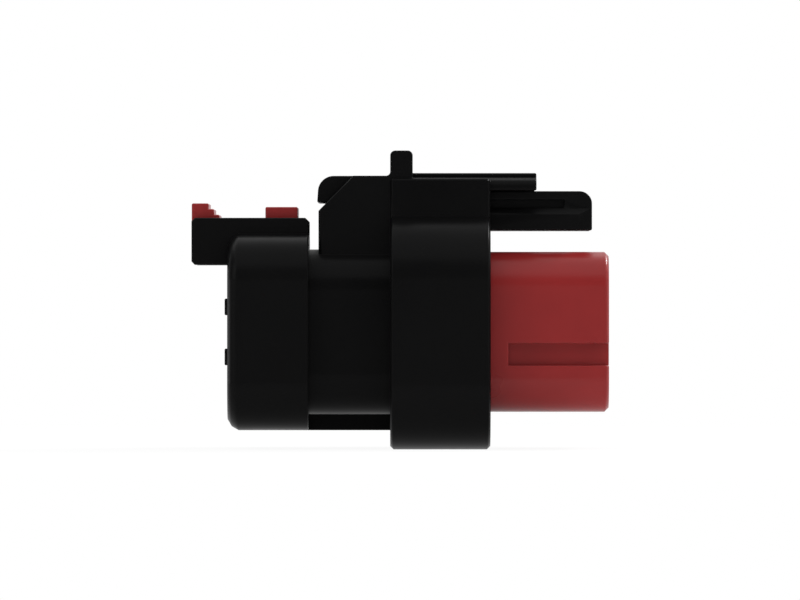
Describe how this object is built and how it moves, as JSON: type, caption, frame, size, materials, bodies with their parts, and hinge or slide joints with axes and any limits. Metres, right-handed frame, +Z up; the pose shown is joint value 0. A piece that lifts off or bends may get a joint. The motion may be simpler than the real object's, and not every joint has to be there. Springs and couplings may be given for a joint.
{
  "type": "electrical connector plug",
  "caption": "Sealed rectangular electrical plug with a keyed nose, socket contacts, a thumb latch on top, a rear cover and a sliding latch blocker.",
  "frame": {"origin": "centre of the flat front face of the keyed nose, midway between the contact rows", "axes": "+X the way the plug is pushed to mate, along its length; +Z up to the latch lever; +Y across, with the nose's keyway on the -Y side"},
  "size_m": [0.0501, 0.0342, 0.0358],
  "materials": {
    "black_nylon": "moulded, satin",
    "red_nylon": "moulded, satin",
    "seal_silicone": "matt silicone",
    "contact_alloy": "tin plated",
    "hood_steel": "bright stainless"
  },
  "bodies": {
    "plug": {"plug_housing": "black_nylon", "interface_seal": "seal_silicone", "wire_seal": "seal_silicone", "rear_cover": "black_nylon", "socket_contact_1": "contact_alloy", "socket_contact_2": "contact_alloy", "socket_contact_3": "contact_alloy", "socket_contact_4": "contact_alloy", "socket_contact_5": "contact_alloy", "socket_contact_6": "contact_alloy", "contact_hood_1": "hood_steel", "contact_hood_2": "hood_steel", "contact_hood_3": "hood_steel", "contact_hood_4": "hood_steel", "contact_hood_5": "hood_steel", "contact_hood_6": "hood_steel"},
    "lock": {"front_lock": "red_nylon"},
    "slide": {"position_slide": "red_nylon"}
  },
  "joints": [
    {"name": "lock_slide", "type": "slide", "parent": "plug", "child": "lock", "axis": [1, 0, 0], "range_m": [0, 0.0018]},
    {"name": "position_slide", "type": "slide", "parent": "plug", "child": "slide", "axis": [1, 0, 0], "range_m": [0, 0.0054]}
  ]
}
